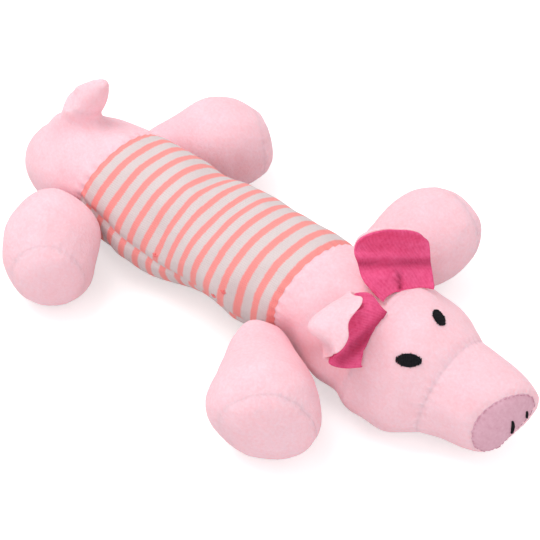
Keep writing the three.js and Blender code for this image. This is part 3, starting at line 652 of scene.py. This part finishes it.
def markStripes(panel, jog):
    plan = stripeLook
    points = pointsOf(panel)
    rear, front = seamAt("rearSeam", points), seamAt("frontSeam", points)
    half = (seamPlane("frontSeam")[0].x - seamPlane("rearSeam")[0].x) / 2
    along = ((points[:, 0] - rear) / (front - rear) * 2 - 1) * half
    share = 0.5 + 0.5 * clothPlace(along) / clothPlace(half - plan["edge"])
    setAttribute(panel, "run", share * (plan["count"] - 1) + 0.5 + jog - 1.5 * plan["wobble"])
    rise = (points[:, 2] - bodyMiddle.z) * (1 if panel.name == "backPanel" else -1)
    setAttribute(panel, "girth", np.arctan2(points[:, 1], rise) * bodyPlan["bodyRadius"])


def sideSeam(side):  # where a side seam crosses the middle of the body, and the way up from it
    drop = bodyPlan["sideSeamDrop"][side]
    tilt = bodyPlan["sideSeamTilt"][side]
    way = 1 if side == "left" else -1
    place = bodyMiddle + bodyPlan["bodyRadius"] * Vector((0, way * math.cos(drop), -math.sin(drop)))
    up = Vector((math.sin(tilt), way * math.sin(drop), math.cos(drop)))
    return place, up.normalized()


def aboveSeams(centre):
    place, up = sideSeam("left" if centre.y > 0 else "right")
    return (centre - place).dot(up) > 0


tailPlan = {
    "voxel": 1.2 * mm,
    "rounds": 4,
    "joinVoxel": 1.5 * mm,
    "filletReach": 15 * mm,
    "filletRounds": 14,
    "way": (0.51, 0.13, 0.85),  # from the root to the tip
    "cutReach": 7 * mm,
    "cutAxis": (0.2, 0.05, 0.98),
    "slitReach": 14 * mm,  # the cut goes no further than this from its middle
    "girth": 18 * mm,  # and the tail's faces stand within this of the root
    "bend": 8 * mm,  # the cloth turns over this much from the cut
}
tailRoot = Vector(joints["tail_wag"]["pos_m"])
tailWay = Vector(tailPlan["way"])
tailCut = tailRoot + tailWay * tailPlan["cutReach"]


def onTail(centre):
    above = (centre - tailCut).dot(Vector(tailPlan["cutAxis"])) > 0
    return above and (centre - tailRoot).xy.length < tailPlan["girth"]


belly = makePigForm()
slit(belly, tailCut, tailPlan["cutAxis"], lambda point: (point - tailCut).length < tailPlan["slitReach"])
tail = takeFaces(belly, "tail", onTail)
seamPlace, seamAxis = seamPlane("rearSeam")
rump = cutOff(belly, seamPlace, -seamAxis, "rump")
neck = cutOff(belly, *seamPlane("frontSeam"), "neck")
slit(belly, *sideSeam("left"), lambda point: point.y > 0)
slit(belly, *sideSeam("right"), lambda point: point.y < 0)
back = takeFaces(belly, "backPanel", aboveSeams)
belly.name = "bellyPanel"
head = cutOff(neck, alongHead(bodyPlan["nape"]), headAxis, "head")
muzzle = cutOff(head, alongHead(bodyPlan["cheek"]), headAxis, "muzzle")
snoutPad = cutOff(muzzle, alongHead(bodyPlan["pad"]), padAxis, "snoutPad")
turnSnout(muzzle)
turnSnout(snoutPad)
print("body and head cut into covers")


def skinOf(*items):  # a surface that stitches are laid on
    points, faces = [], []
    for item in items:
        first = len(points)
        points += [vertex.co.copy() for vertex in item.data.vertices]
        faces += [tuple(first + index for index in face.vertices) for face in item.data.polygons]
    return BVHTree.FromPolygons(points, faces)


def rimOf(item, axis):  # the open edge of a cover, in order round an axis
    owners = {}
    for face in item.data.polygons:
        for key in face.edge_keys:
            owners[key] = owners.get(key, 0) + 1
    rim = {index for key, count in owners.items() if count == 1 for index in key}
    points = [item.data.vertices[index].co.copy() for index in rim]
    centre = sum(points, Vector()) / len(points)
    side = axis.cross(Vector((0, 0, 1))).normalized()
    rise = side.cross(axis)

    def turnOf(point):
        return math.atan2((point - centre).dot(rise), (point - centre).dot(side))
    return sorted(points, key=turnOf)


headSkin = skinOf(head, muzzle)
tubeSkin = skinOf(back, belly)
padRim = rimOf(snoutPad, headAxis)
padSkin = skinOf(snoutPad)
markStripes(back, 0)
markStripes(belly, stripeLook["jog"])

for cover, wall, material, slotName, nodeName, body in [
    (rump, 1.6, pinkPlush, "pink_plush", "rump_cover", "torso"),
    (back, 1.2, stripedKnit, "striped_knit", "back_panel", "torso"),
    (belly, 1.2, stripedKnit, "striped_knit", "belly_panel", "torso"),
    (head, 1.6, pinkPlush, "pink_plush", "head_cover", "head"),
    (muzzle, 1.6, pinkPlush, "pink_plush", "muzzle_cover", "head"),
    (snoutPad, 1.0, mauveFleece, "mauve_fleece", "snout_pad", "head"),
]:
    sewCover(cover, wall * mm, material)
    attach(cover, body)
    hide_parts(nodeName)

sewCover(neck, 1.6 * mm, pinkPlush)
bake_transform(neck)
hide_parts("neck_cover")

sewCover(tail, 1.4 * mm, pinkPlush)
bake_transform(tail)
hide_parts("tail_cover")


# legs

legPlan = {
    "voxel": 3 * mm,
    "rounds": 10,
    "seamDepth": 0.2 * mm,
    "seamWidth": 1.2 * mm,
    "puckers": 24,
    "lumpSize": 12 * mm,
    "lumpHeight": 0.7 * mm,
    "sag": 2.5 * mm,
    "waistReach": 12 * mm,
    "shape": {  # fullness near the root and where that is, of the rest, and from side to side
        "front_left": {"waist": 1.14, "waistPlace": 14 * mm, "foot": 1.0, "slim": 1.0},
        "front_right": {"waist": 1.16, "waistPlace": 14 * mm, "foot": 1.02, "slim": 1.0},
        "rear_left": {"waist": 1.25, "waistPlace": 14 * mm, "foot": 0.97, "slim": 1.0},
        "rear_right": {"waist": 1.5, "waistPlace": 7 * mm, "foot": 0.97, "slim": 0.87},
    },
    "pulls": {
        "front_left": [((60, 62, 25), (-0.8, 0.9, 1.4), 60), ((71, 68, 31), (0.9, 0.8, 0.2), 14),
                       ((75, 58, 13), (-1.3, -0.2, 0.8), 14)],
        "front_right": [((86, -50, 12), (2.6, 1.3, -0.7), 16), ((56, -67, 24), (-1.2, -1.0, 0), 16),
                        ((68, -71, 14), (0.6, 0.8, 0.6), 12), ((84, -60, 10), (0.8, -0.2, -0.6), 14),
                        ((46.5, -35, 30), (-1.9, -0.2, 2.2), 14), ((46, -47, 25), (-0.9, -0.8, 0), 14)],
        "rear_left": [((-34, 66, 32), (-1.5, -1.5, -1.0), 22), ((-41, 61, 36), (0.5, -0.5, -0.9), 18)],
        "rear_right": [((-40, -55, 20), (-1.4, -1.1, 0), 60), ((-50, -36, 38), (-1.9, 1.2, 2.9), 22),
                       ((-28, -46, 11), (1.6, 1.3, -0.6), 20), ((-36, -64, 12), (0.8, 0.6, 0.6), 18),
                       ((-38, -30, 29), (2.3, 2.0, 0), 16)],
    },
}


def makeLeg(legName, shape):
    plan = legPlan
    root = Vector(joints[f"{legName}_leg_flop"]["pos_m"])
    soleLow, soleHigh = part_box(f"{legName}_sole")
    axis = (soleLow + soleHigh) / 2 - root
    axis.z = 0
    axis.normalize()
    soleReach = min((vertex.co - root).dot(axis) for vertex in cadNodes[f"{legName}_sole"].data.vertices)
    seam = root + axis * soleReach
    leg = stuffedForm(f"{legName}_leg", [f"{legName}_leg_cover", f"{legName}_sole", f"{legName}_leg_filling"],
                      plan["voxel"], plan["rounds"], [(seam, axis)])
    points = pointsOf(leg) - np.array(root)
    out = points @ np.array(axis)
    across = points - out[:, None] * np.array(axis)
    near = np.exp(-(((out - shape["waistPlace"]) / plan["waistReach"]) ** 2))
    across *= (shape["foot"] + (shape["waist"] - shape["foot"]) * near)[:, None]
    across[:, :2] *= shape["slim"]
    movePoints(leg, np.array(root) + out[:, None] * np.array(axis) + across)
    nudge(leg, plan["pulls"][legName])
    pressSeam(leg, seam, axis, plan["seamDepth"], plan["seamWidth"], plan["puckers"])
    lumpy(leg, plan["lumpSize"], plan["lumpHeight"])
    settle(leg, plan["sag"])
    sole = cutOff(leg, seam, axis, f"{legName}_foot")
    for cover, nodeName in [(leg, f"{legName}_leg_cover"), (sole, f"{legName}_sole")]:
        sewCover(cover, 1.6 * mm, pinkPlush)
        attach(cover, f"{legName}_leg")
        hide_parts(nodeName)


for legName, shape in legPlan["shape"].items():
    makeLeg(legName, shape)
print("legs ready")


# ears

earPlan = {
    "rounds": 3,
    "pulls": {
        "left": [
            ((78, 10, 55), (-1.4, -1.2, 0), 60),  # the whole ear
            ((70.3, 4.5, 58.7), (-4.2, -1.5, 1.8), 12),  # upper corner by the neck
            ((76.7, -2.8, 51.4), (-2.7, -2.3, 0), 10),  # lower corner by the neck
            ((78, 20, 60.7), (0.9, -1.1, -1.6), 13),  # upper corner by the cheek
            ((80, 3, 51.5), (1.0, -1.2, 1.3), 8),  # swelling under the crease
            ((75, 10, 58), (0.8, -1.0, 0.5), 8),  # and over it
            ((66, 3, 61), (1.0, 0, -0.8), 10),
            ((70, 9.5, 63), (0.5, -0.6, -0.9), 10),
            ((84, 18, 50), (-0.7, -0.6, 0), 10),
            ((88, 7, 48), (-1.3, 1.6, -1.9), 11),  # the root, sewn down on the head
            ((84, 0, 50), (-1.3, 1.6, -1.9), 9),
        ],
        "right": [
            ((77.6, -21.9, 60), (5.3, 2.8, -1.4), 13),  # the fold's upper end
            ((75.3, -31.1, 50.8), (-2.8, -3.6, -1.1), 12),  # the fold's middle
            ((78.5, -39.4, 43.5), (4.4, 3.8, 0.1), 10),  # the fold's lower end
            ((77.0, -36.3, 39.4), (3.4, 2.9, 0.1), 9),
            ((84.5, -28.6, 34.8), (0.6, -0.7, -1.0), 9),  # the lining's lower edge
            ((76, -15.8, 56.8), (1.2, -1.4, -2.1), 9),
            ((87, -23.5, 53.5), (-2.6, -2.2, 0), 9),  # the flap's edge, drawn back
        ],
    },
    "creases": {  # start, end, push and width; each valley is also darkened with painted shade
        "left": [((68, -4, 54.3), (84.5, 18.5, 50.2), (-1.3, 1.5, -1.7), 1.8),
                 ((80.6, 5.3, 52.1), (84.5, 1.6, 49.5), (-0.9, 1.0, -1.2), 0.8)],
        "right": [((86.8, -9, 45.2), (84.5, -25, 39.5), (-0.9, 1.0, -1.3), 1.6),
                  # a broad shallow valley whose painted shade darkens the lining's lower part, below the fold
                  ((83.7, -29.4, 35.8), (86.8, -17.5, 41.2), (-0.4, 0.4, -0.5), 2.4)],
    },
    # how dark the painted shade along the creases is
    "creaseShade": 0.6,
    "tucks": [  # the right lining's upper end: under the flap, and up beside it
        ((82, -19, 57.5), (1.0, -1.2, -2.0), 7),
        ((81, -12.5, 50), (-0.3, 0.8, 1.2), 6),
    ],
    "backShrink": 0.95,
    "bend": 10 * mm,  # the cloth turns over this much from the root
    "ribSlant": 0.5,
    "spread": 1.05,  # the lining is turned out over the edge
    "lift": {"left": (0.4, -0.1, 0.2), "right": (0.3, -0.2, 0.2)},
}


def makeEar(side, layer, material):
    plan = earPlan
    ear = copyOf(f"{side}_ear_{layer}Cloth", [f"{side}_ear_{layer}"])
    editAll(ear)
    bpy.ops.mesh.tris_convert_to_quads()
    leaveEdit()
    finer(ear, 2)
    finishWith(ear, "SMOOTH", factor=0.5, iterations=plan["rounds"])
    flap = joints[f"{side}_ear_flap"]
    points = pointsOf(ear)
    middle = points.mean(axis=0)
    if layer == "lining":
        slant = np.array(flap["axis"]) + plan["ribSlant"] * np.array((0, 0, 1))
        setAttribute(ear, "rib", (points - middle) @ slant)
        movePoints(ear, middle + (points - middle) * plan["spread"] + np.array(plan["lift"][side]) * mm)
    elif side == "left":
        movePoints(ear, middle + (points - middle) * plan["backShrink"])
    nudge(ear, plan["pulls"][side])
    if side == "right" and layer == "lining":
        nudge(ear, plan["tucks"])
    finishWith(ear, "SMOOTH", factor=0.5, iterations=plan["rounds"])
    # painted shade: each crease's push share darkens the lining's colour along its valley, through the crease
    # attribute
    folded = np.zeros(len(ear.data.vertices))
    for valley in plan["creases"][side]:
        folded = np.maximum(folded, crease(ear, *valley))
    setAttribute(ear, "crease", folded * plan["creaseShade"])
    pickOnly(ear)
    bpy.ops.object.shade_smooth()
    ear.data.materials.append(material)
    root = Vector(flap["pos_m"])
    outward = (Vector(pointsOf(ear).mean(axis=0)) - root).normalized()
    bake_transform(ear)
    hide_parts(f"{side}_ear_{layer}")


for side in ("left", "right"):
    makeEar(side, "back", pinkPlush)
    makeEar(side, "lining", magentaFleece)
print("ears ready")


# fibre inside the covers

fillingPlan = {"voxel": 2.6 * mm, "rounds": 4, "room": 2.6 * mm, "lumpSize": 7 * mm, "lumpHeight": 1.2 * mm}
fillingBodies = {
    "rear_filling": "torso",
    "front_filling": "torso",
    "head_filling": "head",
    "tail_filling": "tail",
}
fillingBodies.update({f"{legName}_leg_filling": f"{legName}_leg" for legName in legPlan["shape"]})


def makeFilling(nodeName, body):
    wad = copyOf(f"{nodeName}Wad", [nodeName])
    finishWith(wad, "REMESH", mode="VOXEL", voxel_size=fillingPlan["voxel"])
    finishWith(wad, "SMOOTH", factor=0.5, iterations=fillingPlan["rounds"])
    movePoints(wad, pointsOf(wad) - normalsOf(wad) * fillingPlan["room"])
    finer(wad, 1)
    lumpy(wad, fillingPlan["lumpSize"], fillingPlan["lumpHeight"])
    if body in ("torso", "head"):
        nudge(wad, bodyPlan["pulls"])
    if body == "head":
        turnSnout(wad)
    pickOnly(wad)
    bpy.ops.object.shade_smooth()
    wad.data.materials.append(fibreFill)
    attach(wad, body)
    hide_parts(nodeName)


for nodeName, body in fillingBodies.items():
    makeFilling(nodeName, body)
print("fibre in place")


# stitched face

stitchPlan = {
    "strand": 0.34 * mm,  # half the thickness of a laid thread
    "height": 0.7 * mm,
    "eyes": {
        "left": {"length": 6.6 * mm, "width": 5.7 * mm, "shift": (-0.7, -0.7, 0)},
        "right": {"length": 9.2 * mm, "width": 5.2 * mm, "shift": (1.0, 0.9, 0)},
    },
    "nostrils": {  # each runs along its own way
        "left": {"length": 4.4 * mm, "width": 1.3 * mm, "shift": (-0.7, 0.6, 1.2),
                 "long": (-0.68, -0.12, 1.0)},
        "right": {"length": 7.4 * mm, "width": 1.7 * mm, "shift": (0.3, 2.2, 2.0),
                  "long": (-0.56, 0.0, 1.0)},
    },
    "knots": [(-11.6, -24.4, 25.1), (18.5, -23.9, 22.6), (23.2, -24.2, 27.2)],  # ends on the side seam
    "knotTurns": (0.3, 1.4, 2.6),
    "knotRun": 1.1 * mm,
    "knotWidth": 0.3 * mm,
    "knotHeight": 0.5 * mm,
    "ringCount": 46,  # stitches round the snout pad
    "ringInset": 0.7 * mm,
    "ringRun": 0.55 * mm,
    "ringWidth": 0.22 * mm,
    "ringHeight": 0.3 * mm,
}


def oneThread():  # a plump thread, one unit each way, to be copied and laid
    bpy.ops.object.select_all(action="DESELECT")
    bpy.ops.mesh.primitive_uv_sphere_add(segments=8, ring_count=6, radius=1)
    thread = bpy.context.active_object
    shape = pointsOf(thread)
    faces = [tuple(face.vertices) for face in thread.data.polygons]
    bpy.data.objects.remove(thread)
    return shape, faces


threadShape, threadFaces = oneThread()


def layThreads(name, strands, host):  # each strand: middle, half run, half width, height
    copies = []
    for middle, run, width, height in strands:
        across = Vector(width)
        points = []
        for x, y, z in threadShape:
            place, normal, index, gap = host.find_nearest(Vector(middle) + Vector(run) * z + across * x)
            points.append(place + normal * (0.35 + 0.65 * y) * height)
        mesh = bpy.data.meshes.new(name)
        mesh.from_pydata(points, [], threadFaces)
        strand = bpy.data.objects.new(name, mesh)
        scene.collection.objects.link(strand)
        copies.append(strand)
    pickOnly(*copies)
    bpy.ops.object.join()
    patch = bpy.context.view_layer.objects.active
    editAll(patch)
    bpy.ops.mesh.normals_make_consistent(inside=False)
    leaveEdit()
    pickOnly(patch)
    bpy.ops.object.shade_smooth()
    patch.name = patch.data.name = name
    return patch


def satinPatch(nodeName, size, host):  # threads laid side by side over an oval
    middle, long, short = longWay(nodeName)
    centre, normal, index, gap = host.find_nearest(middle + Vector(size["shift"]) * mm)
    if "long" in size:
        long = Vector(size["long"]).normalized()
        short = long.cross(normal).normalized()
    length, width = size["length"], size["width"]
    strands = [(centre, long * 0.47 * length, short * 0.47 * width, 0.5 * stitchPlan["height"])]
    count = int(length / (1.7 * stitchPlan["strand"]))
    for index in range(count):
        spot = (index + 0.5) / count * 2 - 1
        half = 0.5 * width * math.sqrt(1 - spot * spot * 0.92)
        ragged = 1 + 0.07 * math.sin(index * 2.4) + 0.05 * math.cos(index * 5.1)
        strands.append((centre + long * (0.5 * length * spot), short * half * ragged,
                        long * stitchPlan["strand"], stitchPlan["height"]))
    return layThreads(f"{nodeName}Stitches", strands, host)


def longWay(nodeName):  # middle, long and short directions of a stitched CAD solid
    points = pointsOf(cadNodes[nodeName])
    middle = (points.min(axis=0) + points.max(axis=0)) / 2
    spread, ways = np.linalg.eigh(np.cov((points - middle).T))
    return Vector(middle), Vector(ways[:, 2]), Vector(ways[:, 1])


def makeFace():
    for side in ("left", "right"):
        eye = satinPatch(f"{side}_eye", stitchPlan["eyes"][side], headSkin)
        nostril = satinPatch(f"{side}_nostril", stitchPlan["nostrils"][side], padSkin)
        for patch, nodeName in [(eye, f"{side}_eye"), (nostril, f"{side}_nostril")]:
            patch.data.materials.append(blackThread)
            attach(patch, "head")
            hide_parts(nodeName)


def makePadRing():
    centre = sum(padRim, Vector()) / len(padRim)
    count = stitchPlan["ringCount"]
    strands = []
    for index in range(count):
        spot = index / count * len(padRim)
        here, after = padRim[int(spot)], padRim[(int(spot) + 3) % len(padRim)]
        inward = (centre - here).normalized()
        run = (after - here).normalized() * stitchPlan["ringRun"]
        strands.append((here + inward * stitchPlan["ringInset"], run,
                        inward * stitchPlan["ringWidth"], stitchPlan["ringHeight"]))
    ring = layThreads("padStitches", strands, padSkin)
    ring.data.materials.append(mauveThread)
    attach(ring, "head")


def makeKnots():
    plan = stitchPlan
    strands = []
    for place in plan["knots"]:
        for turn in plan["knotTurns"]:
            way = Vector((math.cos(turn), 0, math.sin(turn)))
            across = way.cross(Vector((0, 1, 0)))
            strands.append((Vector(place) * mm + way * plan["knotWidth"], way * plan["knotRun"],
                            across * plan["knotWidth"], plan["knotHeight"]))
    knots = layThreads("seamKnots", strands, tubeSkin)
    knots.data.materials.append(coralThread)
    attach(knots, "torso")


makeFace()
makePadRing()
makeKnots()
print("face stitched")


# squeaker

squeakerPlan = {"stroke": 8 * mm, "finishes": {"squeaker": squeakerPlastic, "whistle": whistlePlastic,
                                               "reed": whistlePlastic, "whistle_reed": reedFilm}}


def makeBellows():  # a copy of the bellows' folds, shaded smooth and carried by the torso
    bellows = copyOf("bellowsFolds", ["squeaker_bellows"])
    pickOnly(bellows)
    bpy.ops.object.shade_smooth_by_angle(angle=math.radians(40))
    bellows.data.materials.append(squeakerPlastic)
    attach(bellows, "torso")
    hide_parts("squeaker_bellows")
    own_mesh(bellows)


makeBellows()
for nodeName, node in cadNodes.items():
    finish = squeakerPlan["finishes"].get(nodeName, squeakerPlan["finishes"].get(nodeName.split("_")[0]))
    if finish:
        node.data.materials.clear()
        node.data.materials.append(finish)
print("squeaker in place")


# floor, light and camera

stagePlan = {
    "floorSize": 6,
    "floorGlow": 0.5,
    "world": 0.78,
    "lamps": {  # place, size and power
        "key": ((-0.35, -0.15, 0.9), 0.6, 4.3),
        "fill": ((0.8, -0.6, 0.6), 0.9, 2.4),
    },
    "lens": 126.93,
    "eye": (0.37071, -0.41171, 0.49884),
    "turn": (48.5213, -1.0015, 40.8775),
}


def seenDirectly(tree):  # 1 for what the camera, a reflection or a clear piece looks at
    path = addNode(tree, "ShaderNodeLightPath")
    seen = mathNode(tree, "MAXIMUM", path.outputs["Is Camera Ray"], path.outputs["Is Glossy Ray"])
    return mathNode(tree, "MAXIMUM", seen, path.outputs["Is Transmission Ray"])


def makeFloor():
    bpy.ops.mesh.primitive_plane_add(size=stagePlan["floorSize"])
    floor = bpy.context.active_object
    floor.name = "floor"
    material, tree, shader = blankMaterial("paleFloor")
    shader.inputs["Base Color"].default_value = (0.74, 0.74, 0.74, 1)
    shader.inputs["Roughness"].default_value = 0.9
    shader.inputs["Specular IOR Level"].default_value = 0.0
    glow = mathNode(tree, "MULTIPLY", seenDirectly(tree), stagePlan["floorGlow"])
    shader.inputs["Emission Color"].default_value = (1, 1, 1, 1)
    tree.links.new(glow, shader.inputs["Emission Strength"])
    floor.data.materials.append(material)


def makeWorld():
    world = bpy.data.worlds.new("studio")
    world.use_nodes = True
    tree = world.node_tree
    backdrop = tree.nodes["Background"]
    level = addNode(tree, "ShaderNodeMapRange", {
        "Value": seenDirectly(tree), "To Min": stagePlan["world"], "To Max": 1.0})
    backdrop.inputs["Color"].default_value = (1, 1, 1, 1)
    tree.links.new(level.outputs["Result"], backdrop.inputs["Strength"])
    scene.world = world


def addLamp(name, place, size, power):
    bpy.ops.object.light_add(type="AREA", location=place)
    lamp = bpy.context.active_object
    lamp.name = name
    lamp.data.size = size
    lamp.data.energy = power
    lamp.rotation_euler = (-Vector(place)).to_track_quat("-Z", "Y").to_euler()


def makeCamera():
    bpy.ops.object.camera_add(location=stagePlan["eye"])
    camera = bpy.context.active_object
    camera.rotation_euler = [math.radians(angle) for angle in stagePlan["turn"]]
    camera.data.lens = stagePlan["lens"]
    camera.data.clip_start = 0.01
    scene.camera = camera


makeFloor()
makeWorld()
for lampName, (place, size, power) in stagePlan["lamps"].items():
    addLamp(lampName, place, size, power)
makeCamera()
scene.view_settings.view_transform = "Standard"

print("ready")
